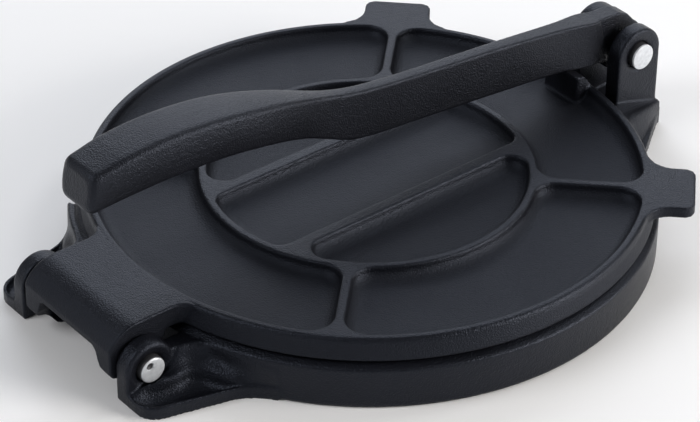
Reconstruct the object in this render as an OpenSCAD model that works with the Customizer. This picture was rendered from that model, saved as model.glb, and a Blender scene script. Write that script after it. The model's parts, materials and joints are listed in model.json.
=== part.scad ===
// Cast-iron tortilla press: a round base with two pairs of ears, a ribbed press
// plate that turns on the hinge pin, and a lever that bears on the plate's nose.
// The origin is the centre of the plates on the table. +X points at the lever's
// pivot, +Z up, and the hinge pin and the lever pin both lie along Y.

/* [Base casting] */
// Radius of the base's round plate
base_r = 104.4; // [85:0.1:130]
// Height of the base's pressing face above the table
base_h = 17.35; // [14.4:0.05:21]
// Height of the bevel round the pressing face
bevel_h = 1.35; // [0.8:0.05:2]
// Width of the bevel round the pressing face
bevel_w = 3.4; // [2:0.1:5]
// Thickness of the base's plate over the hollow underside
base_skin = 6.5; // [5:0.1:8]
// Thickness of the wall round the underside
base_wall = 7; // [5:0.1:10]
// Radius of the hub in the middle of the underside
hub_r = 14; // [10:0.5:20]
// Number of ribs under the base
rib_count = 4; // [3:1:8]
// Thickness of each rib
rib_w = 4; // [3:0.1:6]
// Distance from the ribs up from the table
rib_lift = 3; // [1:0.5:5]
// Thickness of the flange that joins each ear's foot to the base
flange_t = 5; // [4:0.1:6]

/* [Press plate] */
// How far the press plate's edge lies inside the base's edge
plate_inset = 1.4; // [0.5:0.1:3]
// How much smaller the rim's radius is than the plate's lower edge
plate_draft = 1.8; // [0.5:0.1:3]
// Thickness of the press plate, rim included
plate_t = 8.95; // [7.5:0.05:12]
// Thickness of the plate's floor under the pockets
floor_t = 4; // [3:0.1:5.5]
// Width of the rim
rim_w = 3.2; // [2.5:0.1:5]
// Outer radius of the ring
ring_r = 60.7; // [50:0.1:75]
// Width of the ring
ring_w = 3.4; // [2.5:0.1:5]
// Width of each of the four spokes
spoke_w = 3.8; // [3:0.1:6]
// Half width of the band between the two bars inside the ring
band_half = 19; // [14:0.5:24]
// Width of each bar
bar_w = 5.2; // [3:0.1:7]
// How far each lifting tab stands out of the plate's edge
tab_out = 13.5; // [9:0.5:20]
// Width of each lifting tab
tab_w = 25.2; // [18:0.1:32]
// Thickness of each lifting tab
tab_t = 4.2; // [3:0.1:6]
// Corner radius of each lifting tab
tab_corner = 4; // [2:0.5:8]
// Length of the nose along X
nose_l = 9; // [8:0.5:11]
// Width of the nose that the lever bears on
nose_w = 18; // [12:0.5:24]
// Length of the nose's top, which the lever touches
nose_flat = 4; // [3:0.5:5]

/* [Hinge] */
// Distance from the base's edge out to the hinge pin
hinge_reach = 13.6; // [13:0.1:18]
// Height of the hinge pin's axis
hinge_z = 12; // [11.5:0.1:14]
// Sideways place of the pair of ears
hinge_off = 2.5; // [-3:0.1:3]
// Clear width between the ears
ear_gap = 55.5; // [46:0.1:67]
// Thickness of each ear
ear_t = 6.5; // [5:0.1:9]
// Wall of each ear round the pin
ear_wall = 4.8; // [4:0.1:6]
// Play between the hinge tab and the ear on the -Y side
play_near = 1.25; // [0.5:0.05:3]
// Play between the hinge tab and the ear on the +Y side
play_far = 4.75; // [0.5:0.05:6]
// Width of each lug under the hinge tab
lug_w = 9; // [7:0.1:12]
// Wall of each lug round the pin
lug_wall = 3.8; // [3:0.1:4.5]
// Distance from the pin's axis to the hinge tab's end face
knuckle_end = 11.5; // [10:0.1:12]
// Wall of the hood between the lugs
hood_t = 3.5; // [2.5:0.1:4]
// Height of the hood's end face between the lugs
hood_lip = 3.2; // [2:0.1:4]

/* [Lever posts] */
// Distance from the base's edge out to the lever pin
lever_reach = 15.4; // [14.5:0.1:22]
// Height of the lever pin above the top of the press plate
lever_rise = 7.9; // [7:0.1:14]
// Wall of each post round the pin
post_wall = 5.6; // [4.5:0.1:7]
// Clear width between the posts
post_gap = 14.5; // [12:0.1:20]
// Thickness of each post
post_t = 6.25; // [5:0.05:8]
// Height of the floor between the posts
post_floor = 10; // [8:0.5:12]
// How far the posts' foot stands out beyond the lever pin
foot_out = 13; // [11:0.5:18]

/* [Lever] */
// Play between the lever's eye and each post
eye_play = 3.25; // [0.5:0.05:4]
// Wall of the eye round the lever pin
eye_wall = 5.3; // [4:0.1:6]
// Width of the arm at its shoulders
shoulder_w = 9; // [8:0.1:11]
// Width of the arm
arm_w = 5.8; // [4.5:0.1:8]
// Distance from the lever pin to the foot of the grip
arm_l = 124.5; // [100:0.5:155]
// Largest width of the grip
grip_w = 20.4; // [16:0.1:25]
// Length of the grip, its foot included
grip_l = 119; // [95:0.5:145]
// How far the lower edge of the grip's end stands out beyond the upper
grip_rake = 2.5; // [0:0.5:5]

/* [Pins and fits] */
// Radius of both pins
pin_r = 5; // [4:0.1:6]
// Edge bevel on the pins' ends
pin_bevel = 0.4; // [0.2:0.1:1]
// How far the hinge pin stands out of each ear
hinge_pin_proud = 1.5; // [0:0.1:3]
// How far the lever pin stands out of each post
lever_pin_proud = 2; // [0:0.1:3]
// Radial clearance of a pin in the base, where it is a drive fit
seat_clear = 0.02; // [0.01:0.01:0.04]
// Radial clearance of a pin in the part that turns on it
run_clear = 0.06; // [0.03:0.01:0.1]
// Gap between faces that close on each other
face_gap = 0.3; // [0.2:0.05:0.5]

/* [Hidden] */

iron = "#3b3c40";
iron_light = "#55565b";
steel = "#c9ccd0";
$fn = 180;

// A cut runs past its face by over, and a joined piece runs into its neighbour by bite
over = 1;
bite = 0.1;

// Base and plate
edge_z = base_h - bevel_h;
press_r = base_r - bevel_w;
plate_r = base_r - plate_inset;
plate_top_r = plate_r - plate_draft;
plate_bevel_w = 3;
plate_bevel_h = 1;
plate_z0 = base_h + face_gap;
plate_z1 = plate_z0 + plate_t;
floor_z = plate_z0 + floor_t;
pocket_r = plate_top_r - rim_w;

// Hinge
hinge_x = -base_r - hinge_reach;
ear_r = pin_r + ear_wall;
ear_end = hinge_x - ear_r;
lug_r = pin_r + lug_wall;
knuckle_y0 = hinge_off - ear_gap / 2 + play_near;
knuckle_y1 = hinge_off + ear_gap / 2 - play_far;
hood_x0 = hinge_x - knuckle_end;
hood_r = plate_z1 - hinge_z;
hood_tip = hinge_z + sqrt(hood_r ^ 2 - knuckle_end ^ 2);
hinge_pin_l = ear_gap + 2 * ear_t + 2 * hinge_pin_proud;

// Lever and its posts
lever_x = base_r + lever_reach;
lever_z = plate_z1 + lever_rise;
lever_l = arm_l + grip_l;
eye_r = pin_r + eye_wall;
eye_w = post_gap - 2 * eye_play;
post_r = pin_r + post_wall;
post_front = lever_x - post_r;
post_back = lever_x + post_r;
post_out = post_gap / 2 + post_t;
foot_x = lever_x + foot_out;
lever_pin_l = 2 * post_out + 2 * lever_pin_proud;

// The lever's side view and plan. Each row gives the distance from the pin
// towards the grip, the heights of the top and the underside above the pin's
// axis, and the half width. The arm comes first, then the grip.
LEVER = [
    [7, 14.8, -6.2, shoulder_w / 2],
    [19.5, 16.2, -2.9, shoulder_w / 2],
    [29.5, 17.1, -1.3, arm_w / 2 + 0.3],
    [0.48 * arm_l, 20.8, 1.8, arm_w / 2],
    [0.8 * arm_l, 24.4, 5.1, arm_w / 2],
    [arm_l, 27.4, 7.7, arm_w / 2],
    [arm_l + 0.126 * grip_l, 31, 13.5, arm_w / 2 + 0.4],
    [arm_l + 0.294 * grip_l, 38, 21.8, 0.31 * grip_w],
    [arm_l + 0.462 * grip_l, 43.2, 27, 0.46 * grip_w],
    [arm_l + 0.672 * grip_l, 46.8, 29.4, 0.5 * grip_w],
    [arm_l + 0.882 * grip_l, 45, 29.1, 0.47 * grip_w],
    [lever_l, 42.6, 27.7, 0.42 * grip_w],
];
TOP = 1;
UNDER = 2;
HALF = 3;
// Distance from the pin to the top of the shoulders
shoulder_s = 12.8;
steps = 44;

// A smooth curve through column c of the rows, at distance s from the pin
function slope(i, c) =
    let (a = max(i - 1, 0), b = min(i + 1, len(LEVER) - 1))
    (LEVER[b][c] - LEVER[a][c]) / (LEVER[b][0] - LEVER[a][0]);
function row_at(s, i = 0) =
    i >= len(LEVER) - 2 || s <= LEVER[i + 1][0] ? i : row_at(s, i + 1);
function lever_at(s, c) =
    let (i = row_at(s), h = LEVER[i + 1][0] - LEVER[i][0], t = (s - LEVER[i][0]) / h)
    (2 * t ^ 3 - 3 * t ^ 2 + 1) * LEVER[i][c]
    + (t ^ 3 - 2 * t ^ 2 + t) * h * slope(i, c)
    + (3 * t ^ 2 - 2 * t ^ 3) * LEVER[i + 1][c]
    + (t ^ 3 - t ^ 2) * h * slope(i + 1, c);
function along(from, to) = [for (i = [0 : steps]) from + (to - from) * i / steps];
function back_along(from, to) = [for (i = [steps : -1 : 0]) from + (to - from) * i / steps];

// Height of the lever's underside at x
function under(x) = lever_z + lever_at(lever_x - x, UNDER);

// The nose on the press plate, under the lever
nose_x0 = plate_top_r - nose_l;
nose_x1 = nose_x0 + nose_flat;

// A cylinder along Y, centred on y
module shaft(x, z, r, l, y = 0) {
    translate([x, y + l / 2, z])
        rotate([90, 0, 0])
            cylinder(r = r, h = l);
}

// A shape drawn in X and Z, from y0 to y1
module slab(y0, y1) {
    translate([0, y1, 0])
        rotate([90, 0, 0])
            linear_extrude(y1 - y0)
                children();
}

// A shape drawn for the +Y side, turned to the other side when side is -1
module on_side(side) {
    mirror([0, side < 0 ? 1 : 0, 0])
        children();
}

// One ear of the hinge with its web and foot. The flange's outline runs from a
// round corner at the end face, leaning in towards the base, to a fillet at the rim.
module hinge_foot(side) {
    inner = ear_gap / 2;
    outer = inner + ear_t;
    web_x = hinge_x + 0.9 * ear_r;
    corner = 8;
    lean = 14.5;
    corner_x = ear_end + corner;
    corner_y = outer + 4.2;
    lean_x = corner_x - corner * sin(lean);
    lean_y = corner_y + corner * cos(lean);
    root_x = -base_r + 6.9;
    root_y = lean_y + (root_x - lean_x) * tan(lean);
    rim_x = -base_r + 18.4;
    rim_y = sqrt(base_r ^ 2 - rim_x ^ 2) - side * hinge_off;
    deep_x = -base_r + 24.4;
    step_h = flange_t + 4;
    translate([0, hinge_off, 0])
        on_side(side) {
            shaft(hinge_x, hinge_z, ear_r, ear_t, inner + ear_t / 2);
            slab(inner, outer)
                polygon([
                    [ear_end, 0], [deep_x, 0], [deep_x, edge_z], [web_x, edge_z],
                    [hinge_x, hinge_z], [ear_end, hinge_z],
                ]);
            linear_extrude(step_h)
                polygon([
                    [ear_end + 5, outer - over], [ear_end + 6, outer + 0.8],
                    [hinge_x + 8, outer + 2.5], [root_x - 5.5, outer + 4.4],
                    [root_x - 0.5, outer + 10], [root_x + 4.5, outer + 17],
                    [deep_x - 4, outer + 24], [deep_x - 4, inner],
                ]);
            linear_extrude(flange_t) {
                translate([corner_x, corner_y])
                    circle(r = corner);
                polygon([
                    [ear_end, inner], [ear_end, corner_y], [corner_x, corner_y],
                    [lean_x, lean_y - bite], [root_x, root_y], [root_x + 6, root_y + 2.4],
                    [rim_x, rim_y - bite], [deep_x, root_y], [deep_x, inner],
                ]);
            }
        }
}

// The two posts that carry the lever, and the foot under them
module lever_posts() {
    deep_x = base_r - 14.4;
    root_x = base_r - 6.9;
    for (side = [-1, 1])
        on_side(side) {
            slab(post_gap / 2, post_out) {
                translate([lever_x, lever_z])
                    circle(r = post_r);
                translate([post_front, 0])
                    square([2 * post_r, lever_z]);
            }
            linear_extrude(post_floor - 0.5)
                polygon([
                    [deep_x, 0], [post_back, 0], [post_back, post_out],
                    [post_front, post_out + 7.5], [root_x, post_out + 15],
                    [deep_x, post_out + 15],
                ]);
            linear_extrude(flange_t)
                polygon([
                    [deep_x, 0], [foot_x, 0], [foot_x, post_out - 0.5],
                    [root_x, post_out + 24.9], [deep_x, post_out + 28],
                ]);
        }
    slab(-post_out, post_out)
        polygon([
            [deep_x, 0], [foot_x, 0], [foot_x, flange_t + 0.5], [post_back, post_floor],
            [post_front, post_floor], [base_r - 2, edge_z], [deep_x, edge_z],
        ]);
}

// The hollow under the base, with its hub and ribs left standing
module underside() {
    hollow_h = base_h - base_skin;
    difference() {
        translate([0, 0, -over])
            cylinder(r = base_r - base_wall, h = hollow_h + over);
        translate([0, 0, -2 * over])
            cylinder(r = hub_r, h = hollow_h + 3 * over);
        for (i = [0 : rib_count - 1])
            rotate([0, 0, i * 360 / rib_count])
                translate([0, -rib_w / 2, rib_lift])
                    cube([base_r, rib_w, hollow_h]);
    }
}

module base() {
    color(iron)
        difference() {
            union() {
                cylinder(r = base_r, h = edge_z);
                translate([0, 0, edge_z])
                    cylinder(r1 = base_r, r2 = press_r, h = bevel_h);
                hinge_foot(-1);
                hinge_foot(1);
                lever_posts();
            }
            underside();
            shaft(hinge_x, hinge_z, pin_r + seat_clear, ear_gap + 4 * ear_t, hinge_off);
            shaft(lever_x, lever_z, pin_r + seat_clear, post_gap + 4 * post_t);
        }
}

// The four pockets outside the ring and the three inside it
module pockets() {
    well_r = ring_r - ring_w;
    translate([0, 0, floor_z])
        linear_extrude(plate_t) {
            difference() {
                circle(r = pocket_r);
                circle(r = ring_r);
                for (a = [45, 135])
                    rotate(a)
                        square([2 * plate_r, spoke_w], center = true);
            }
            difference() {
                circle(r = well_r);
                for (side = [-1, 1])
                    translate([0, side * (band_half + bar_w / 2)])
                        square([2 * well_r, bar_w], center = true);
            }
        }
}

// A lifting tab beside the lever, at angle a
module lifting_tab(a) {
    root = plate_top_r - rim_w / 2;
    corner_x = plate_r + tab_out - tab_corner;
    rotate(a)
        translate([0, -tab_w / 2, plate_z1 - tab_t])
            linear_extrude(tab_t) {
                translate([root, 0])
                    square([corner_x - root, tab_w]);
                translate([corner_x - over, tab_corner])
                    square([tab_corner + over, tab_w - 2 * tab_corner]);
                for (y = [tab_corner, tab_w - tab_corner])
                    translate([corner_x, y])
                        circle(r = tab_corner);
            }
}

// Side view of the hinge tab: flat on top, rolled down round the pin
module hood_side() {
    intersection() {
        translate([hinge_x, hinge_z])
            circle(r = hood_r);
        translate([hood_x0, hinge_z])
            square([knuckle_end, hood_r + over]);
    }
    translate([hinge_x - over, plate_z0 + plate_bevel_h])
        square([-plate_r + 15 - hinge_x, plate_t - plate_bevel_h]);
}

// Side view of a lug, from the hood down round the pin
module lug_side() {
    hood_side();
    translate([hinge_x, hinge_z])
        circle(r = lug_r);
    polygon([
        [hood_x0, hood_tip - bite], [hood_x0, hinge_z - 2.6],
        [hinge_x - 0.9 * lug_r, hinge_z - 0.7 * lug_r], [hinge_x, hinge_z - 0.9 * lug_r],
        [hinge_x + lug_r, hinge_z], [hinge_x + lug_r + 2.5, plate_z0 + plate_bevel_h + over],
        [hinge_x, plate_z1 - hood_t],
    ]);
}

module hinge_tab() {
    clear_w = knuckle_y1 - knuckle_y0 - 2 * lug_w;
    difference() {
        slab(knuckle_y0, knuckle_y1)
            hood_side();
        shaft(hinge_x, hinge_z, hood_r - hood_t, clear_w, (knuckle_y0 + knuckle_y1) / 2);
        translate([hinge_x - hood_r, knuckle_y0 + lug_w, 0])
            cube([hood_r, clear_w, hood_tip - hood_lip]);
    }
    for (y = [knuckle_y0, knuckle_y1 - lug_w])
        slab(y, y + lug_w)
            lug_side();
}

// The nose that the lever bears on, from the pocket's floor up to the lever
module nose() {
    rim_x = plate_top_r - 1;
    slab(-nose_w / 2, nose_w / 2)
        polygon([
            [nose_x0, floor_z - over], [nose_x0, under(nose_x0) - face_gap],
            [nose_x1, under(nose_x1) - face_gap], [rim_x, plate_z1],
            [rim_x, floor_z - over],
        ]);
}

module press_plate() {
    color(iron_light)
        difference() {
            union() {
                difference() {
                    union() {
                        translate([0, 0, plate_z0])
                            cylinder(r1 = plate_r - plate_bevel_w, r2 = plate_r, h = plate_bevel_h);
                        translate([0, 0, plate_z0 + plate_bevel_h])
                            cylinder(r1 = plate_r, r2 = plate_top_r, h = plate_t - plate_bevel_h);
                        lifting_tab(45);
                        lifting_tab(-45);
                    }
                    pockets();
                }
                difference() {
                    hinge_tab();
                    translate([0, 0, floor_z])
                        cylinder(r = pocket_r, h = plate_t);
                }
                nose();
            }
            shaft(hinge_x, hinge_z, pin_r + run_clear, ear_gap + 4 * ear_t, hinge_off);
        }
}

// Side view of the lever from its shoulders to the end of the grip
module lever_side() {
    polygon(concat(
        [for (s = along(shoulder_s, lever_l - grip_rake))
            [lever_x - s, lever_z + lever_at(s, TOP)]],
        [for (s = back_along(LEVER[0][0], lever_l))
            [lever_x - s, lever_z + lever_at(s, UNDER)]]
    ));
}

// Plan of the lever, on its centre line
module lever_plan() {
    polygon(concat(
        [for (s = along(LEVER[0][0], lever_l)) [lever_x - s, lever_at(s, HALF)]],
        [for (s = back_along(LEVER[0][0], lever_l)) [lever_x - s, -lever_at(s, HALF)]]
    ));
}

// The flat eye between the posts, with the arm's top running on over it
module lever_eye() {
    neck_s = shoulder_s + 2;
    heel_s = LEVER[0][0] + 2;
    slab(-eye_w / 2, eye_w / 2) {
        translate([lever_x, lever_z])
            circle(r = eye_r);
        polygon([
            [lever_x - neck_s, lever_z + lever_at(neck_s, TOP)],
            [lever_x - 1.8, lever_z + eye_r + 4.1], [lever_x + 2, lever_z + eye_r + 2.2],
            [lever_x + 0.7 * eye_r, lever_z + 0.7 * eye_r], [lever_x, lever_z - 0.95 * eye_r],
            [lever_x - heel_s, lever_z + lever_at(heel_s, UNDER)],
        ]);
    }
}

module lever() {
    color(iron)
        difference() {
            union() {
                intersection() {
                    slab(-grip_w, grip_w)
                        lever_side();
                    linear_extrude(2 * lever_l)
                        lever_plan();
                }
                lever_eye();
            }
            shaft(lever_x, lever_z, pin_r + run_clear, post_gap + 4 * post_t);
        }
}

// A plain round pin along Y with bevelled ends
module pin(x, y, z, l) {
    translate([x, y, z])
        rotate([90, 0, 0]) {
            cylinder(r = pin_r, h = l - 2 * pin_bevel, center = true);
            for (side = [0, 1])
                mirror([0, 0, side])
                    translate([0, 0, l / 2 - pin_bevel])
                        cylinder(r1 = pin_r, r2 = pin_r - pin_bevel, h = pin_bevel);
        }
}

module hinge_pin() {
    color(steel)
        pin(hinge_x, hinge_off, hinge_z, hinge_pin_l);
}

module lever_pin() {
    color(steel)
        pin(lever_x, 0, lever_z, lever_pin_l);
}

base();
press_plate();
lever();
hinge_pin();
lever_pin();
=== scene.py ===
import json
import math

import bpy
from mathutils import Matrix, Vector


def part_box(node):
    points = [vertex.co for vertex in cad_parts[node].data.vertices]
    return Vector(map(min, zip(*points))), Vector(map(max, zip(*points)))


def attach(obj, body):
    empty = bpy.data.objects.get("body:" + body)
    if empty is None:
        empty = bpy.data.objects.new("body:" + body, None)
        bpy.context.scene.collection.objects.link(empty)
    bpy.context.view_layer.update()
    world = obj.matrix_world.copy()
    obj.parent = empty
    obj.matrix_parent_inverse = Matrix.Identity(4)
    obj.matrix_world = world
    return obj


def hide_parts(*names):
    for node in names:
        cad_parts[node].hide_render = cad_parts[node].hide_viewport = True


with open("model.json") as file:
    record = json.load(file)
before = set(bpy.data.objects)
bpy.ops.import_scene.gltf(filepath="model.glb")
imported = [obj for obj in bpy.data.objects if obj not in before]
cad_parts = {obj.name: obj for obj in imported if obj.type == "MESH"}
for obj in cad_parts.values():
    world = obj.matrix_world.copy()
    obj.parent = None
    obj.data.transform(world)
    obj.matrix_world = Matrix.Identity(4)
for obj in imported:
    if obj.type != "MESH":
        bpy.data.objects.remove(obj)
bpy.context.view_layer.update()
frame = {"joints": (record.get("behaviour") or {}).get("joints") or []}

# ---- Base casting ----
# The base is one sand casting of grey iron: a round plate with a hollow underside, two
# ears that hold the hinge pin and two posts that hold the lever pin. It is cast with
# soft edges and fillets, drilled for the pins, and seasoned black with oil.

pivots = {j["name"]: j["pos_m"] for j in frame["joints"]}
hinge_x, _, hinge_z = pivots["plate_open"]
lever_x, _, lever_z = pivots["lever_swing"]
pin_r = 0.005
bore_r = pin_r + 0.0002


def deselect():
    bpy.ops.object.select_all(action="DESELECT")


def only(piece):
    deselect()
    piece.select_set(True)
    bpy.context.view_layer.objects.active = piece


def outward(piece):
    """Merges doubled points and turns every face outwards."""
    only(piece)
    bpy.ops.object.mode_set(mode="EDIT")
    bpy.ops.mesh.select_all(action="SELECT")
    bpy.ops.mesh.remove_doubles(threshold=0.000004)
    bpy.ops.mesh.delete_loose()
    bpy.ops.mesh.select_all(action="SELECT")
    bpy.ops.mesh.normals_make_consistent(inside=False)
    bpy.ops.object.mode_set(mode="OBJECT")
    return piece


def block(low, high):
    """A box between two corners."""
    deselect()
    low, high = Vector(low), Vector(high)
    bpy.ops.mesh.primitive_cube_add(size=1, location=(low + high) / 2)
    bpy.context.object.dimensions = high - low
    bpy.ops.object.transform_apply(location=True, rotation=True, scale=True)
    return bpy.context.object


def rod(x, z, radius, y0, y1, vertices=96):
    """A cylinder along Y."""
    deselect()
    bpy.ops.mesh.primitive_cylinder_add(vertices=vertices, radius=radius, depth=y1 - y0,
                                        location=(x, (y0 + y1) / 2, z),
                                        rotation=(-math.pi / 2, 0, 0))
    bpy.ops.object.transform_apply(location=True, rotation=True, scale=True)
    return bpy.context.object


def turned(profile, steps=256):
    """A solid of revolution about Z, from an outline of radii and heights."""
    deselect()
    bpy.ops.mesh.primitive_circle_add(vertices=len(profile), fill_type="NOTHING")
    piece = bpy.context.object
    for vertex, (radius, height) in zip(piece.data.vertices, profile):
        vertex.co = (radius, 0, height)
    bpy.ops.object.mode_set(mode="EDIT")
    bpy.ops.mesh.select_all(action="SELECT")
    bpy.ops.mesh.spin(steps=steps, angle=2 * math.pi, center=(0, 0, 0), axis=(0, 0, 1))
    bpy.ops.object.mode_set(mode="OBJECT")
    return outward(piece)


def drill(x, z, y0, y1, dish_r, dish_depth):
    """A bore along Y with a conical dish where it leaves each of the faces y0 and y1."""
    lip, neck, stub = 0.0003, 0.0004, 0.0022
    piece = turned([(0, y0 - stub), (bore_r, y0 - stub), (bore_r, y0 - neck),
                    (dish_r, y0 - lip), (bore_r, y0 + dish_depth), (bore_r, y1 - dish_depth),
                    (dish_r, y1 + lip), (bore_r, y1 + neck), (bore_r, y1 + stub),
                    (0, y1 + stub)], steps=96)
    for vertex in piece.data.vertices:
        a, b, c = vertex.co
        vertex.co = (x + a, c, z - b)
    return outward(piece)


def slab(outline, z0, z1):
    """An upright prism: a ring of points dragged to the outline, filled and drawn up."""
    deselect()
    bpy.ops.mesh.primitive_circle_add(vertices=len(outline), fill_type="NGON")
    piece = bpy.context.object
    for vertex, (x, y) in zip(piece.data.vertices, outline):
        vertex.co = (x, y, z0)
    bpy.ops.object.mode_set(mode="EDIT")
    bpy.ops.mesh.select_all(action="SELECT")
    bpy.ops.mesh.extrude_region_move(TRANSFORM_OT_translate={"value": (0, 0, z1 - z0)})
    bpy.ops.object.mode_set(mode="OBJECT")
    return outward(piece)


def side_slab(outline, y0, y1):
    """A prism along Y from an outline drawn in X and Z."""
    piece = slab(outline, 0, y1 - y0)
    for vertex in piece.data.vertices:
        x, z, y = vertex.co
        vertex.co = (x, y + y0, z)
    return outward(piece)


def eased(points, steps):
    """Points of a smooth curve through the given ones, steps to each span."""
    points = [Vector(p) for p in points]
    ends = [2 * points[0] - points[1]] + points + [2 * points[-1] - points[-2]]
    curve = []
    for i in range(1, len(ends) - 2):
        a, b, c, d = ends[i - 1:i + 3]
        for k in range(steps):
            t = k / steps
            curve.append(0.5 * (2 * b + (c - a) * t + (2 * a - 5 * b + 4 * c - d) * t * t
                                + (3 * b - a - 3 * c + d) * t ** 3))
    return curve + [points[-1]]


def draped(rows, steps):
    """A solid between the table and a smooth skin laid over rows of points (mm)."""
    rows = [eased([[c / 1000 for c in p] for p in row], steps) for row in rows]
    columns = [eased(column, steps) for column in zip(*rows)]
    across, along = len(columns[0]), len(columns)
    deselect()
    bpy.ops.mesh.primitive_grid_add(x_subdivisions=across - 1, y_subdivisions=along - 1)
    piece = bpy.context.object
    places = [p for column in columns for p in column]
    for vertex, place in zip(piece.data.vertices, places):
        vertex.co = (place.x, place.y, max(place.z, 0))
    bpy.ops.object.mode_set(mode="EDIT")
    bpy.ops.mesh.select_all(action="SELECT")
    bpy.ops.mesh.extrude_region_move()
    bpy.ops.object.mode_set(mode="OBJECT")
    for vertex in piece.data.vertices[len(places):]:
        vertex.co.z = 0
    return outward(piece)


def mirrored(piece, about_y=0.0):
    """A copy on the other side of the plane y = about_y."""
    only(piece)
    bpy.ops.object.duplicate()
    twin = bpy.context.object
    for vertex in twin.data.vertices:
        vertex.co.y = 2 * about_y - vertex.co.y
    return outward(twin)


def rounded(piece, width, pick, segments=4):
    """Bevels the edges whose two end points pick accepts."""
    only(piece)
    bpy.ops.object.mode_set(mode="EDIT")
    bpy.ops.mesh.select_mode(type="EDGE")
    bpy.ops.mesh.select_all(action="DESELECT")
    bpy.ops.object.mode_set(mode="OBJECT")
    points = piece.data.vertices
    for edge in piece.data.edges:
        edge.select = pick(points[edge.vertices[0]].co, points[edge.vertices[1]].co)
    bpy.ops.object.mode_set(mode="EDIT")
    bpy.ops.mesh.bevel(offset=width, offset_type="OFFSET", segments=segments, profile=0.5,
                       affect="EDGES", clamp_overlap=True)
    bpy.ops.object.mode_set(mode="OBJECT")


def joined(pieces):
    deselect()
    for piece in pieces:
        piece.select_set(True)
    bpy.context.view_layer.objects.active = pieces[0]
    bpy.ops.object.join()
    return bpy.context.object


def cut(solids, knife):
    """Cuts the knife's shape out of each of the solids, and uses the knife up."""
    for solid in solids:
        only(solid)
        bpy.ops.object.modifier_add(type="BOOLEAN")
        trim = solid.modifiers[-1]
        trim.operation = "DIFFERENCE"
        trim.solver = "MANIFOLD"
        trim.object = knife
        bpy.ops.object.modifier_apply(modifier=trim.name)
        solid.data.materials.clear()
    bpy.data.objects.remove(knife)
    return solids


def one_shell(solid):
    """Keeps the casting's outer surface, and drops the tiny closed voids that a remesh
    leaves inside."""
    only(solid)
    bpy.ops.object.mode_set(mode="EDIT")
    bpy.ops.mesh.select_all(action="SELECT")
    bpy.ops.mesh.separate(type="LOOSE")
    bpy.ops.object.mode_set(mode="OBJECT")
    shells = sorted(bpy.context.selected_objects, key=lambda shell: len(shell.data.polygons))
    for void in shells[:-1]:
        bpy.data.meshes.remove(void.data)
    only(shells[-1])
    return shells[-1]


def cast(solids, name, grain, smoothing, most_triangles=190000):
    """One casting from overlapping solids: remeshed at the grain, relaxed and thinned."""
    solid = joined(solids)
    bpy.ops.object.modifier_add(type="REMESH")
    solid.modifiers[-1].mode = "VOXEL"
    solid.modifiers[-1].voxel_size = grain
    bpy.ops.object.modifier_apply(modifier=solid.modifiers[-1].name)
    bpy.ops.object.modifier_add(type="SMOOTH")
    solid.modifiers[-1].factor = 0.5
    solid.modifiers[-1].iterations = smoothing
    bpy.ops.object.modifier_apply(modifier=solid.modifiers[-1].name)
    triangles = 2 * len(solid.data.polygons)
    if triangles > most_triangles:
        bpy.ops.object.modifier_add(type="DECIMATE")
        solid.modifiers[-1].ratio = most_triangles / triangles
        bpy.ops.object.modifier_apply(modifier=solid.modifiers[-1].name)
    solid = one_shell(solid)
    solid.name = solid.data.name = name
    bpy.ops.object.shade_smooth()
    return solid


base_low, base_high = (Vector(c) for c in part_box("base"))
base_r = (base_high.y - base_low.y) / 2
base_h = 0.01735
edge_z = 0.0160
ear_mid = 0.0025
ear_in, ear_out = 0.02775, 0.03425
ear_r, ear_edge, cheek_edge = 0.0098, 0.0016, 0.0014
ear_end = hinge_x - ear_r
post_in, post_out = 0.00725, 0.0135
post_r, post_edge = 0.0106, 0.0011
near = 0.0001

# the round plate, hollow below, with its bevel up to the pressing face
wall, foot_edge, top_edge, face_r = 0.007, 0.0008, 0.0005, 0.101
hollow_r, hollow_top = base_r - wall, 0.01085
body = [turned([(0, hollow_top), (hollow_r, hollow_top), (hollow_r, foot_edge),
                (hollow_r + foot_edge, 0), (base_r - foot_edge, 0), (base_r, foot_edge),
                (base_r, edge_z - top_edge), (base_r - top_edge, edge_z), (face_r, base_h),
                (0, base_h)])]

# one hinge ear with its outer edge well rounded, and the web that joins it to the plate
ear_side = ear_mid - ear_out
ear = rod(hinge_x, hinge_z, ear_r, ear_side, ear_mid - ear_in, vertices=128)
rounded(ear, ear_edge, lambda a, b: max(a.y, b.y) < ear_side + near)
cheek = block((ear_end, ear_side, 0), (-0.1085, ear_mid - ear_in, hinge_z))
rounded(cheek, cheek_edge, lambda a, b: max(a.x, b.x) < ear_end + near
        and max(a.y, b.y) < ear_side + near)
web = block((-0.1105, ear_side + 0.0004, 0), (-0.0948, ear_mid - ear_in, 0.0158))

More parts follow.
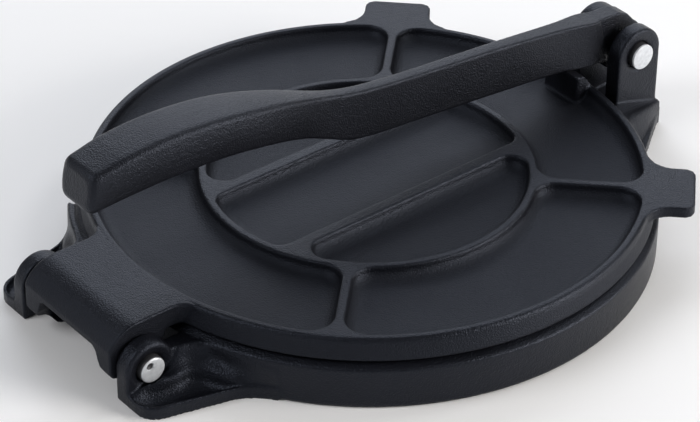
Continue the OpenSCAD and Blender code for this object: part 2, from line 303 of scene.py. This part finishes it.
# the ear's foot: a skin over rows from the ear out, across a shelf to its crest, down
# into a scoop and up to the outline's thin rim (mm; the last row is the outline)
foot_rows = [
    [(-127.8, -31.2, 5.0), (-126.0, -31.2, 5.1), (-124.0, -31.3, 5.6), (-121.5, -31.5, 6.4),
     (-116.5, -31.6, 7.9), (-111.8, -31.7, 9.4), (-107.0, -32.0, 15.2), (-103.2, -32.9, 15.7),
     (-99.3, -34.8, 15.7), (-96.9, -39.0, 15.4), (-93.6, -46.3, 15.0), (-90.3, -52.4, 14.4),
     (-86.0, -59.2, 13.5)],
    [(-127.8, -31.9, 5.0), (-126.0, -31.9, 5.15), (-124.0, -32.1, 5.7), (-121.5, -32.3, 6.8),
     (-116.5, -33.1, 8.0), (-111.9, -33.8, 8.6), (-107.5, -33.7, 10.8), (-103.9, -34.3, 10.9),
     (-100.2, -36.6, 10.8), (-97.0, -39.9, 10.8), (-93.9, -46.9, 10.3), (-90.5, -53.1, 9.6),
     (-86.0, -59.8, 8.5)],
    [(-127.8, -32.6, 5.0), (-126.2, -32.6, 5.2), (-124.0, -32.8, 5.9), (-121.5, -33.1, 7.0),
     (-116.5, -34.9, 8.0), (-111.9, -35.9, 8.2), (-107.9, -36.1, 8.3), (-104.6, -36.7, 8.3),
     (-101.2, -39.2, 8.2), (-98.3, -44.2, 7.8), (-94.9, -49.0, 7.0), (-91.0, -52.9, 6.0),
     (-86.5, -58.2, 5.2)],
    [(-127.8, -33.4, 5.0), (-126.0, -34.0, 4.6), (-124.0, -34.4, 4.2), (-121.4, -34.6, 4.2),
     (-116.6, -36.0, 4.3), (-112.1, -37.0, 4.4), (-108.2, -37.3, 4.5), (-105.1, -37.9, 4.5),
     (-102.0, -40.3, 4.5), (-99.0, -45.0, 4.7), (-95.3, -49.6, 5.0), (-91.2, -53.2, 5.2),
     (-86.5, -58.5, 5.0)],
    [(-127.8, -34.2, 5.0), (-125.9, -35.8, 3.6), (-123.7, -36.8, 2.6), (-121.2, -37.2, 2.3),
     (-116.7, -38.6, 2.2), (-112.3, -39.8, 2.2), (-108.6, -40.8, 2.3), (-105.2, -42.0, 2.5),
     (-101.8, -43.8, 2.8), (-98.6, -46.8, 3.6), (-95.0, -50.2, 4.6), (-91.2, -53.6, 5.1),
     (-86.6, -58.8, 5.0)],
    [(-127.8, -35.0, 5.0), (-126.2, -37.4, 3.8), (-124.1, -39.6, 2.9), (-121.2, -41.0, 2.6),
     (-116.4, -42.4, 2.5), (-111.9, -43.7, 2.5), (-107.8, -44.9, 2.6), (-104.0, -46.0, 2.8),
     (-100.3, -47.2, 3.2), (-97.2, -48.9, 3.9), (-93.9, -51.2, 4.7), (-90.4, -54.4, 5.0),
     (-86.3, -59.4, 5.0)],
    [(-127.8, -36.0, 5.0), (-127.05, -39.4, 5.0), (-124.9, -42.1, 5.0), (-121.9, -43.75, 5.0),
     (-116.5, -45.15, 5.0), (-111.5, -46.5, 5.0), (-107.0, -47.7, 5.0), (-103.0, -48.75, 5.0),
     (-99.0, -49.8, 5.0), (-96.0, -50.9, 5.0), (-92.9, -52.8, 5.0), (-89.4, -55.8, 5.0),
     (-85.9, -60.1, 5.0)],
]


def rimmed(rows):
    """The rows (mm), with a start inside the casting and the outline's rim and wall added."""
    rim_z, round_z, wall_z = 5.0, 4.3, 2.0
    start = [(0.985 * x, 0.95 * y, z) for x, y, z in rows[0]]
    inner, outline = rows[-2], rows[-1]

    def set_in(gap, height):
        row = []
        for a, b in zip(inner, outline):
            a, b = Vector(a), Vector(b)
            step = Vector((a.x - b.x, a.y - b.y))
            step *= min(gap / max(step.length, 0.001), 0.8)
            row.append((b.x + step.x, b.y + step.y, height))
        return row

    return [start] + rows[:-1] + [set_in(1.1, rim_z), set_in(0.35, rim_z), set_in(0, round_z),
                                  set_in(0, wall_z), set_in(0, 0)]


ear_dish_r, ear_dish_depth = 0.0088, 0.0009
foot = cut([ear, cheek, web, draped(rimmed(foot_rows), 4)],
           drill(hinge_x, hinge_z, ear_side, ear_mid + ear_out, ear_dish_r, ear_dish_depth))
hinge_feet = foot + [mirrored(piece, ear_mid) for piece in foot]

# one lever post, round-topped with soft edges, on a foot laid out in the same way
post_side = -post_out
post_round = rod(lever_x, lever_z, post_r, post_side, -post_in, vertices=128)
rounded(post_round, post_edge, lambda a, b: max(a.y, b.y) < post_side + near)
post_block = block((lever_x - post_r, post_side, 0), (lever_x + post_r, -post_in, lever_z))
rounded(post_block, post_edge, lambda a, b: max(a.y, b.y) < post_side + near
        and abs(a.x - b.x) < near)
post_rows = [
    [(131.3, -13.4, 10.9), (126.0, -13.5, 12.5), (120.0, -13.5, 14.3), (113.0, -13.6, 16.3),
     (107.0, -15.2, 16.9), (101.9, -22.9, 15.9), (98.3, -35.2, 15.2)],
    [(131.6, -13.7, 10.3), (126.2, -14.6, 11.3), (120.2, -15.5, 12.7), (113.6, -16.5, 14.3),
     (107.8, -18.2, 15.0), (103.2, -24.2, 14.6), (99.0, -34.8, 13.5)],
    [(131.9, -14.0, 9.8), (126.6, -15.9, 10.9), (120.4, -17.8, 12.1), (114.4, -19.6, 13.2),
     (109.2, -21.3, 13.9), (104.6, -26.0, 13.2), (99.8, -34.6, 11.5)],
    [(132.4, -14.0, 7.4), (127.4, -16.0, 7.9), (121.2, -18.9, 8.4), (115.2, -21.6, 8.8),
     (109.6, -24.2, 9.0), (104.4, -28.4, 8.8), (99.4, -35.4, 8.0)],
    [(132.6, -13.8, 5.4), (127.6, -16.2, 5.2), (121.6, -19.8, 5.2), (115.6, -23.4, 5.2),
     (109.6, -27.0, 5.3), (103.8, -31.2, 5.4), (98.8, -36.2, 5.6)],
    [(132.8, -13.2, 5.0), (128.0, -16.6, 5.0), (122.0, -20.9, 5.0), (116.0, -25.3, 5.0),
     (110.0, -29.6, 5.0), (103.0, -34.5, 5.0), (97.5, -38.4, 5.0)],
]
post_dish_r, post_dish_depth = 0.0076, 0.0007
post = cut([post_round, post_block],
           drill(lever_x, lever_z, post_side, post_out, post_dish_r, post_dish_depth))
post.append(draped(rimmed(post_rows), 4))
posts = post + [mirrored(piece) for piece in post]
# the slab under both posts, which slopes up to the plate
posts.append(side_slab([(0.0985, 0), (0.1328, 0), (0.1328, 0.0055), (0.1300, 0.0100),
                        (0.1090, 0.0100), (0.1020, 0.0156), (0.0985, 0.0156)], -0.0132, 0.0132))

# the hub and ribs of the underside: the hub stands on the table, and the ribs stop short
rib_end, rib_half, rib_low, rib_high = 0.099, 0.002, 0.003, 0.012
hub_r, hub_foot_r = 0.014, 0.0132
ribs = [block((-rib_end, -rib_half, rib_low), (rib_end, rib_half, rib_high)),
        block((-rib_half, -rib_end, rib_low), (rib_half, rib_end, rib_high)),
        turned([(0, 0.0), (hub_foot_r, 0.0), (hub_r, foot_edge), (hub_r, rib_high),
                (0, rib_high)], steps=96)]
base = cast(body + hinge_feet + posts + ribs, "base_casting", 0.00052, 2)
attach(base, "base")
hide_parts("base")


def seasoned_iron(name, tone, gloss, rough_below=None):
    """Black oil-seasoned cast iron: sand grain, a slight orange peel, slow mottling and a
    soft bluish sheen. Below the height rough_below it keeps a duller as-cast face."""
    mottle_scale, peel_scale, grain_scale = 38, 420, 1800
    as_cast, as_cast_blend = 0.17, 0.0006
    iron = bpy.data.materials.new(name)
    iron.use_nodes = True
    nodes, links = iron.node_tree.nodes, iron.node_tree.links
    shader = nodes["Principled BSDF"]
    shader.inputs["Metallic"].default_value = 0.0
    shader.inputs["Specular IOR Level"].default_value = 0.29
    shader.inputs["Specular Tint"].default_value = (0.70, 0.79, 1.0, 1)
    place = nodes.new("ShaderNodeTexCoord")

    def noise(scale, detail):
        texture = nodes.new("ShaderNodeTexNoise")
        texture.inputs["Scale"].default_value = scale
        texture.inputs["Detail"].default_value = detail
        links.new(place.outputs["Object"], texture.inputs["Vector"])
        return texture

    def bump(texture, strength, distance):
        node = nodes.new("ShaderNodeBump")
        node.inputs["Strength"].default_value = strength
        node.inputs["Distance"].default_value = distance
        links.new(texture.outputs["Fac"], node.inputs["Height"])
        return node

    def ranged(source, low, high, to_low, to_high):
        node = nodes.new("ShaderNodeMapRange")
        for socket, value in (("From Min", low), ("From Max", high),
                              ("To Min", to_low), ("To Max", to_high)):
            node.inputs[socket].default_value = value
        links.new(source, node.inputs["Value"])
        return node.outputs["Result"]

    mottle = noise(mottle_scale, 5)
    ramp = nodes.new("ShaderNodeValToRGB")
    ramp.color_ramp.elements[0].position = 0.3
    ramp.color_ramp.elements[0].color = (*[c * 0.8 for c in tone], 1)
    ramp.color_ramp.elements[1].position = 0.7
    ramp.color_ramp.elements[1].color = (*[c * 1.2 for c in tone], 1)
    links.new(mottle.outputs["Fac"], ramp.inputs["Fac"])
    links.new(ramp.outputs["Color"], shader.inputs["Base Color"])
    grain = bump(noise(grain_scale, 2), 0.8, 0.00034)
    peel = bump(noise(peel_scale, 2), 0.3, 0.00035)
    links.new(grain.outputs["Normal"], peel.inputs["Normal"])
    links.new(peel.outputs["Normal"], shader.inputs["Normal"])
    rough = ranged(mottle.outputs["Fac"], 0, 1, gloss - 0.06, gloss + 0.10)
    if rough_below:
        spot = nodes.new("ShaderNodeSeparateXYZ")
        links.new(place.outputs["Object"], spot.inputs["Vector"])
        extra = ranged(spot.outputs["Z"], rough_below - as_cast_blend,
                       rough_below + as_cast_blend, as_cast, 0.0)
        total = nodes.new("ShaderNodeMath")
        total.operation = "ADD"
        links.new(rough, total.inputs[0])
        links.new(extra, total.inputs[1])
        rough = total.outputs[0]
    links.new(rough, shader.inputs["Roughness"])
    return iron


black = (0.0046, 0.0049, 0.0070)
base.data.materials.append(seasoned_iron("seasoned_iron", black, 0.31))

# ---- Press plate ----
# The press plate is the second casting: a flat-bottomed disc whose top is lightened by
# seven pockets, which leave a rim, a ring, four spokes and two bars. Two tabs lift it,
# a hooded tab with two lugs hinges it, and the lever bears on a nose at the rim.


def arc(x, z, radius, start, end, steps=12):
    """Points of an arc, with its angles in degrees."""
    angles = [math.radians(start + (end - start) * i / steps) for i in range(steps + 1)]
    return [(x + radius * math.cos(t), z + radius * math.sin(t)) for t in angles]


plate_r, rim_top_r = 0.1030, 0.1014
plate_z0 = base_h + 0.0003
plate_z1 = plate_z0 + 0.00895
floor_z = plate_z0 + 0.0040
pocket_r, ring_r, well_r = 0.0980, 0.0607, 0.0573
spoke_half, band_half, bar_out = 0.0019, 0.0190, 0.0242
rim_edge = 0.0014

plate_parts = [turned([(0, plate_z0), (0.0995, plate_z0), (0.1002, plate_z0 + 0.0002),
                       (0.1028, plate_z0 + 0.0009), (plate_r, plate_z0 + 0.0012),
                       (rim_top_r + 0.0001, plate_z1 - rim_edge)]
                      + arc(rim_top_r - rim_edge, plate_z1 - rim_edge, rim_edge, 0, 90, 6)
                      + [(0, plate_z1)])]

# a lifting tab drawn along X with its root fillets, then turned to its place
tab_half, tab_reach, tab_corner, tab_root = 0.0126, 0.1165, 0.0040, 0.0095
tab_thick, tab_edge = 0.0042, 0.0009
for angle in (45, -45):
    root_x = math.sqrt((rim_top_r + tab_root) ** 2 - (tab_half + tab_root) ** 2)
    swing = math.degrees(math.atan2(tab_half + tab_root, root_x))
    edge = (arc(root_x, tab_half + tab_root, tab_root, 180 + swing, 270, 10)
            + arc(tab_reach - tab_corner, tab_half - tab_corner, tab_corner, 90, 0, 8))
    outline = [(0.0990, edge[0][1] - 0.0040)] + edge
    outline += [(x, -y) for x, y in reversed(outline)]
    c, s = math.cos(math.radians(angle)), math.sin(math.radians(angle))
    tab = slab([(c * x - s * y, s * x + c * y) for x, y in outline],
               plate_z1 - tab_thick, plate_z1)
    rounded(tab, tab_edge, lambda a, b: abs(a.z - b.z) < near, segments=3)
    plate_parts.append(tab)

# the hinge tab: a hood rolled over the pin, closed at each end by a lug
tab_y0, tab_y1 = -0.0245, 0.0260
hood_end = hinge_x - 0.0115
tab_bottom = plate_z0 + 0.0010
roll_x, roll_z, roll_r = -0.1175, plate_z1 - 0.0135, 0.0135
lug_r, hood_edge = 0.0088, 0.0010
tip = math.degrees(math.acos((roll_x - hood_end) / roll_r))
side_view = [(-0.0990, tab_bottom), (-0.0990, plate_z1)]
side_view += arc(roll_x, roll_z, roll_r, 90, 180 - tip, 14)
side_view += [(hood_end, 0.0100), (hood_end + 0.0012, 0.0078)]
side_view += arc(hinge_x, hinge_z, lug_r, 216, 352, 12)
side_view += [(-0.1072, 0.0165), (-0.1062, tab_bottom)]
hood = side_slab(side_view, tab_y0, tab_y1)
rounded(hood, hood_edge, lambda a, b: abs(a.y - b.y) < near and min(a.x, b.x) < -0.1075,
        segments=3)
# the mouth between the lugs, seen from the end: round corners above, splayed below
mouth = [(-0.0205, 0.0050), (-0.0188, 0.0092), (-0.0173, 0.0115), (-0.0165, 0.0140),
         (-0.0157, 0.0158), (-0.0140, 0.0170), (0.0147, 0.0170), (0.0165, 0.0158),
         (0.0173, 0.0140), (0.0181, 0.0115), (0.0196, 0.0092), (0.0213, 0.0050)]
mouth_cut = slab(mouth, 0, 0.0300)
for vertex in mouth_cut.data.vertices:
    y, z, x = vertex.co
    vertex.co = (hood_end - 0.002 + x, y, z)
outward(mouth_cut)
cut([hood], mouth_cut)
# the round hollow over the pin, and the lugs' bores
cut([hood], rod(hinge_x, hinge_z, 0.0111, -0.0160, 0.0168))
cut([hood], rod(hinge_x, hinge_z, bore_r, tab_y0 - 0.005, tab_y1 + 0.005))
plate_parts.append(hood)

# the fillets from the hinge tab's sides into the disc
root_r = 0.0065
for side, y in ((-1, abs(tab_y0)), (1, tab_y1)):
    centre_x = -math.sqrt((rim_top_r + root_r) ** 2 - (y + root_r) ** 2)
    swing = math.degrees(math.atan2(y + root_r, -centre_x))
    root = arc(centre_x, y + root_r, root_r, 270, 360 - swing, 8)
    root = [(-0.0985, y - 0.004), (centre_x, y - 0.004)] + root
    plate_parts.append(slab([(x, side * v) for x, v in root], tab_bottom, plate_z1))


def sector(inset, turn):
    """Outline of a pocket between two spokes, every side inset alike."""
    outer, inner, half = pocket_r - inset, ring_r + inset, spoke_half + inset
    corner = 0.0082 - inset
    reach_o = math.sqrt((outer - corner) ** 2 - (half + corner) ** 2)
    reach_i = math.sqrt((inner + corner) ** 2 - (half + corner) ** 2)
    turn_o = 45 - math.degrees(math.atan2(half + corner, reach_o))
    turn_i = 45 - math.degrees(math.atan2(half + corner, reach_i))
    d = math.sqrt(0.5)
    half_way = arc(0, 0, outer, 0, turn_o, 24)
    half_way += arc(d * (reach_o + half + corner), d * (reach_o - half - corner), corner,
                    turn_o, 135, 10)
    half_way += arc(d * (reach_i + half + corner), d * (reach_i - half - corner), corner,
                    135, 180 + turn_i, 10)
    half_way += arc(0, 0, inner, turn_i, 0, 16)
    c, s = math.cos(math.radians(turn)), math.sin(math.radians(turn))
    return [(c * x - s * y, s * x + c * y)
            for x, y in half_way[:-1] + [(x, -y) for x, y in reversed(half_way[1:])]]


def band(inset):
    """Outline of the middle pocket inside the ring."""
    outer, half, corner = well_r - inset, band_half - inset, 0.0052 - inset
    reach = math.sqrt((outer - corner) ** 2 - (half - corner) ** 2)
    turn = math.degrees(math.atan2(half - corner, reach))
    quarter = arc(0, 0, outer, 0, turn, 8) + arc(reach, half - corner, corner, turn, 90, 8)
    upper = quarter + [(-x, y) for x, y in reversed(quarter)]
    return upper[:-1] + [(x, -y) for x, y in reversed(upper[1:])]


def dee(inset, side):
    """Outline of a pocket between a bar and the ring."""
    outer, edge, corner = well_r - inset, bar_out + inset, 0.0062 - inset
    reach = math.sqrt((outer - corner) ** 2 - (edge + corner) ** 2)
    turn = math.degrees(math.atan2(edge + corner, reach))
    half_way = arc(reach, edge + corner, corner, -90, turn, 10) + arc(0, 0, outer, turn, 90, 20)
    return [(x, side * y) for x, y in half_way[:-1] + [(-x, y) for x, y in reversed(half_way)]]


def pocket(outline, *way):
    """A cutter with a wide round bottom and a slightly flared mouth; way says which of
    several like pockets the outline is for."""
    fillet_in, fillet_up = 0.0050, 0.0040
    levels = []
    for t in range(0, 91, 15):
        levels.append((fillet_in * (1 - math.sin(math.radians(t))),
                       floor_z + fillet_up * (1 - math.cos(math.radians(t)))))
    levels += [(-0.0001, plate_z1 - 0.0005), (-0.0006, plate_z1), (-0.0016, plate_z1 + 0.0010)]
    rings = [outline(inset, *way) for inset, _ in levels]
    deselect()
    bpy.ops.mesh.primitive_circle_add(vertices=len(rings[0]), fill_type="NGON")
    cutter = bpy.context.object
    for vertex, (x, y) in zip(cutter.data.vertices, rings[0]):
        vertex.co = (x, y, levels[0][1])
    for ring, (_, height) in zip(rings[1:], levels[1:]):
        bpy.ops.object.mode_set(mode="EDIT")
        bpy.ops.mesh.extrude_region_move()
        bpy.ops.object.mode_set(mode="OBJECT")
        for vertex, (x, y) in zip(cutter.data.vertices[-len(ring):], ring):
            vertex.co = (x, y, height)
    return outward(cutter)


pockets = [pocket(sector, turn) for turn in (0, 90, 180, 270)]
pockets += [pocket(band), pocket(dee, 1), pocket(dee, -1)]

# the nose: its top slopes with the lever's underside, and its front corners are round
nose_front, nose_back, nose_half, nose_edge = 0.0922, 0.1005, 0.0090, 0.0016
nose = side_slab([(nose_front, floor_z - 0.001), (nose_front, 0.0326), (0.0962, 0.0319),
                  (nose_back, 0.0262), (nose_back, floor_z - 0.001)], -nose_half, nose_half)
rounded(nose, nose_edge, lambda a, b: abs(a.z - b.z) > 0.002
        and max(a.x, b.x) < nose_front + near, segments=5)

cut(plate_parts[:1], joined(pockets))
plate = cast(plate_parts + [nose], "press_plate_casting", 0.00050, 3)
plate.data.materials.append(seasoned_iron("plate_iron", black, 0.33,
                                          rough_below=plate_z1 - 0.0025))
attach(plate, "plate")
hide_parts("press_plate")

# ---- Lever ----
# The lever is the third casting: a drilled eye between the posts, a narrow arm with
# square shoulders, and a wide grip that rises clear of the plate. The top and the sides
# of the grip swell a little for the hand, and all its edges are well rounded.

# x, top, underside, half width, edge radius, swell of the side, crown of the top
stations = [
    (0.1000, 0.0507, 0.0317, 0.0045, 0.0006, 0.0000, 0.0000),
    (0.0900, 0.0519, 0.0332, 0.0036, 0.0009, 0.0001, 0.0000),
    (0.0600, 0.0553, 0.0359, 0.0030, 0.0010, 0.0001, 0.0001),
    (0.0200, 0.0589, 0.0395, 0.0028, 0.0010, 0.0001, 0.0001),
    (0.0000, 0.0612, 0.0413, 0.0028, 0.0011, 0.0001, 0.0001),
    (-0.0100, 0.0630, 0.0434, 0.0029, 0.0012, 0.0001, 0.0001),
    (-0.0200, 0.0657, 0.0479, 0.0033, 0.0013, 0.0002, 0.0001),
    (-0.0300, 0.0691, 0.0528, 0.0047, 0.0016, 0.0003, 0.0002),
    (-0.0400, 0.0725, 0.0564, 0.0064, 0.0020, 0.0004, 0.0002),
    (-0.0550, 0.0765, 0.0604, 0.0086, 0.0026, 0.0005, 0.0003),
    (-0.0700, 0.0793, 0.0629, 0.0096, 0.0029, 0.0005, 0.0003),
    (-0.0900, 0.0808, 0.0640, 0.0098, 0.0030, 0.0005, 0.0003),
    (-0.1080, 0.0797, 0.0637, 0.0098, 0.0030, 0.0004, 0.0003),
    (-0.1200, 0.0777, 0.0626, 0.0092, 0.0029, 0.0003, 0.0002),
]


def blended(column, x):
    """A smooth curve through one column of the stations."""
    i = max(k for k in range(len(stations) - 1) if k == 0 or stations[k][0] >= x)
    span = stations[i + 1][0] - stations[i][0]
    t = (x - stations[i][0]) / span

    def slope(k):
        a, b = max(k - 1, 0), min(k + 1, len(stations) - 1)
        return (stations[b][column] - stations[a][column]) / (stations[b][0] - stations[a][0])

    return ((2 * t ** 3 - 3 * t ** 2 + 1) * stations[i][column]
            + (t ** 3 - 2 * t ** 2 + t) * span * slope(i)
            + (3 * t ** 2 - 2 * t ** 3) * stations[i + 1][column]
            + (t ** 3 - t ** 2) * span * slope(i + 1))


def section(x, lean, trim):
    """One cross-section: a rounded rectangle, swollen and crowned, leaning by lean in X."""
    top, under, half, edge, swell, crown = (blended(k, x) for k in range(1, 7))
    top, under, half = top - trim, under + trim, half - trim
    middle = (top + under) / 2
    ring = []
    for sy, sz, start in ((1, 1, 0), (-1, 1, 90), (-1, -1, 180), (1, -1, 270)):
        ring += arc(sy * (half - edge), (top if sz > 0 else under) - sz * edge, edge,
                    start, start + 90, 4)
        y, z = ring[-1]
        for t in (0.25, 0.5, 0.75):
            bulge = 4 * t * (1 - t)
            if start == 0:
                ring.append((y * (1 - 2 * t), z + crown * bulge))
            elif start == 90:
                ring.append((y - swell * bulge, z + 2 * t * (middle - z)))
            elif start == 180:
                ring.append((y * (1 - 2 * t), z))
            else:
                ring.append((y + swell * bulge, z + 2 * t * (middle - z)))
    return [(x + lean * (z - middle), y, z) for y, z in ring]


grip_x, grip_lean = -0.1204, 0.16
shoulder_x, shoulder_lean = 0.1096, -0.267
steps = 64
rings = []
for i in range(steps + 1):
    x = shoulder_x + (grip_x - shoulder_x) * i / steps
    lean = shoulder_lean * max(0, 1 - i / 3) + grip_lean * max(0, 1 - (steps - i) / 5)
    rings.append(section(x, lean, 0))
# the grip's end face, its edge well rounded
for out, trim in ((0.0010, 0.0002), (0.0019, 0.0007), (0.0025, 0.0014), (0.0029, 0.0024)):
    rings.append([(x - out, y, z) for x, y, z in section(grip_x, grip_lean, trim)])
deselect()
bpy.ops.mesh.primitive_circle_add(vertices=len(rings[0]), fill_type="NGON")
arm = bpy.context.object
for vertex, place in zip(arm.data.vertices, rings[0]):
    vertex.co = place
for ring in rings[1:]:
    bpy.ops.object.mode_set(mode="EDIT")
    bpy.ops.mesh.extrude_region_move()
    bpy.ops.object.mode_set(mode="OBJECT")
    for vertex, place in zip(arm.data.vertices[-len(ring):], ring):
        vertex.co = place
outward(arm)

# the eye, which the pin holds between the posts
eye_half, eye_r = 0.0036, 0.0103
eye = side_slab([(0.1040, 0.0316), (0.1040, 0.0498), (0.1180, 0.0489), (0.1220, 0.0470),
                 (0.1262, 0.0423), (lever_x + 0.0090, lever_z + 0.0050),
                 (lever_x, lever_z - 0.0096), (0.1120, 0.0290)], -eye_half, eye_half)
boss = cut([eye, rod(lever_x, lever_z, eye_r, -eye_half, eye_half)],
           rod(lever_x, lever_z, bore_r, -0.02, 0.02))
lever = cast([arm] + boss, "lever_casting", 0.00038, 2)
lever.data.materials.append(seasoned_iron("lever_iron", (0.0062, 0.0064, 0.0084), 0.34))
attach(lever, "lever")
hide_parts("lever")

# ---- Pins ----
# Both pins are 10 mm steel rod, sawn to length, faced and zinc plated. They are driven
# into the base's ears and posts, and their ends stand a little proud. Their sides are
# painted near black as painted shade, standing for the shadow in the dish round each pin
# and the dark reflection on its side; only the faced ends keep the zinc colour.


def plated_steel(name, bright_y, metal):
    """Zinc-plated steel, bright outside the span bright_y and painted near black within it:
    painted shade for the shadow and the dark reflection on the pins' sides. The lower
    metal is, the duller the face."""
    zinc = bpy.data.materials.new(name)
    zinc.use_nodes = True
    nodes, links = zinc.node_tree.nodes, zinc.node_tree.links
    shader = nodes["Principled BSDF"]
    shader.inputs["Metallic"].default_value = metal
    place = nodes.new("ShaderNodeTexCoord")
    cloud = nodes.new("ShaderNodeTexNoise")
    cloud.inputs["Scale"].default_value = 700
    cloud.inputs["Detail"].default_value = 4
    links.new(place.outputs["Object"], cloud.inputs["Vector"])
    tint = nodes.new("ShaderNodeValToRGB")
    tint.color_ramp.elements[0].color = (0.44, 0.46, 0.49, 1)
    tint.color_ramp.elements[1].color = (0.80, 0.83, 0.87, 1)
    links.new(cloud.outputs["Fac"], tint.inputs["Fac"])
    spot = nodes.new("ShaderNodeSeparateXYZ")
    links.new(place.outputs["Object"], spot.inputs["Vector"])
    middle = nodes.new("ShaderNodeMath")
    middle.operation = "SUBTRACT"
    middle.inputs[1].default_value = (bright_y[0] + bright_y[1]) / 2
    links.new(spot.outputs["Y"], middle.inputs[0])
    away = nodes.new("ShaderNodeMath")
    away.operation = "ABSOLUTE"
    links.new(middle.outputs[0], away.inputs[0])
    faced = nodes.new("ShaderNodeMapRange")
    faced.inputs["From Min"].default_value = (bright_y[1] - bright_y[0]) / 2 - 0.0001
    faced.inputs["From Max"].default_value = (bright_y[1] - bright_y[0]) / 2 + 0.0001
    links.new(away.outputs[0], faced.inputs["Value"])
    # painted shade: within the span the pin is mixed to near black, standing for shadow and dark
    # reflection on its sides
    painted_shade = nodes.new("ShaderNodeMix")
    painted_shade.data_type = "RGBA"
    painted_shade.inputs["A"].default_value = (0.05, 0.05, 0.055, 1)
    links.new(faced.outputs["Result"], painted_shade.inputs["Factor"])
    links.new(tint.outputs["Color"], painted_shade.inputs["B"])
    links.new(painted_shade.outputs["Result"], shader.inputs["Base Color"])
    haze = nodes.new("ShaderNodeMapRange")
    haze.inputs["To Min"].default_value = 0.34
    haze.inputs["To Max"].default_value = 0.56
    links.new(cloud.outputs["Fac"], haze.inputs["Value"])
    links.new(haze.outputs["Result"], shader.inputs["Roughness"])
    return zinc


def driven_pin(node, x, z, chamfer, dimple, metal, bright):
    """A faced pin with rounded ends, bright for the last of its length. A dimple is the
    mark of the centre drill on its near end."""
    dimple_r, dimple_out = 0.0017, 0.0007
    low, high = (Vector(c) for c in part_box(node))
    pin = rod(x, z, pin_r, low.y, high.y, vertices=64)
    rounded(pin, chamfer, lambda a, b: abs(a.y - b.y) < near)
    if dimple:
        deselect()
        centre = (x + dimple[0], low.y - dimple_out, z + dimple[1])
        bpy.ops.mesh.primitive_uv_sphere_add(segments=32, ring_count=16, radius=dimple_r,
                                             location=centre)
        bpy.ops.object.transform_apply(location=True, rotation=True, scale=True)
        cut([pin], bpy.context.object)
    only(pin)
    bpy.ops.object.shade_smooth_by_angle(angle=math.radians(35))
    pin.name = pin.data.name = node + "_rod"
    pin.data.materials.append(plated_steel(node + "_zinc", (low.y + bright, high.y - bright),
                                            metal))
    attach(pin, "base")
    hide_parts(node)


driven_pin("hinge_pin", hinge_x, hinge_z, 0.0011, (-0.0012, 0.0021), 0.45, 0.0004)
driven_pin("lever_pin", lever_x, lever_z, 0.0003, None, 0.3, 0.0008)

# ---- Floor, light and camera ----
# The press stands on a plain pale floor under soft studio lamps, and the camera looks
# down on it from the side of the near ear. None of this is part of the press.

deselect()
bpy.ops.mesh.primitive_plane_add(size=6)
floor = bpy.context.object
floor.name = "floor"
pale = bpy.data.materials.new("pale_floor")
pale.use_nodes = True
paper = pale.node_tree.nodes["Principled BSDF"]
paper.inputs["Base Color"].default_value = (0.98, 0.98, 0.98, 1)
paper.inputs["Roughness"].default_value = 0.9
floor.data.materials.append(pale)

world = bpy.data.worlds.new("studio")
bpy.context.scene.world = world
world.use_nodes = True
world.node_tree.nodes["Background"].inputs["Color"].default_value = (1, 1, 1, 1)
world.node_tree.nodes["Background"].inputs["Strength"].default_value = 0.2


def softbox(name, place, size, power, colour):
    """A square area lamp that looks at the press, with its size in m and power in W."""
    deselect()
    bpy.ops.object.light_add(type="AREA", location=place)
    lamp = bpy.context.object
    lamp.name = name
    lamp.data.size = size
    lamp.data.energy = power
    lamp.data.color = colour
    lamp.rotation_euler = (-Vector(place)).to_track_quat("-Z", "Y").to_euler()


softbox("back_softbox", (0.80, 1.00, 0.90), 1.4, 13, (0.87, 0.91, 1.0))
softbox("overhead_softbox", (1.0, -0.18, 1.1), 0.4, 3, (1.0, 1.0, 1.0))
softbox("left_softbox", (-1.1, 0.3, 0.9), 0.8, 7.5, (0.98, 0.98, 1.0))
softbox("front_softbox", (0.9, -1.1, 0.7), 0.8, 3.5, (1.0, 0.96, 0.92))
softbox("low_softbox", (0.7, -1.0, 0.35), 0.6, 12, (1.0, 0.96, 0.92))

aim = Vector((-0.02207, -0.01738, 0.02657))
azimuth, elevation, roll = math.radians(-39.0), math.radians(34.7), math.radians(0.45)
distance = 1.0057
back = Vector((math.sin(azimuth) * math.cos(elevation), -math.cos(azimuth) * math.cos(elevation),
               math.sin(elevation)))
right = Vector((math.cos(azimuth), math.sin(azimuth), 0))
up = back.cross(right)
turned_right = math.cos(roll) * right + math.sin(roll) * up
turned_up = -math.sin(roll) * right + math.cos(roll) * up
deselect()
bpy.ops.object.camera_add()
camera = bpy.context.object
camera.name = "camera"
camera.data.sensor_width = 36
camera.data.lens = 148.25
camera.matrix_world = Matrix.Translation(aim + distance * back) @ Matrix(
    (turned_right, turned_up, back)).transposed().to_4x4()
bpy.context.scene.camera = camera
bpy.context.scene.view_settings.view_transform = "Standard"
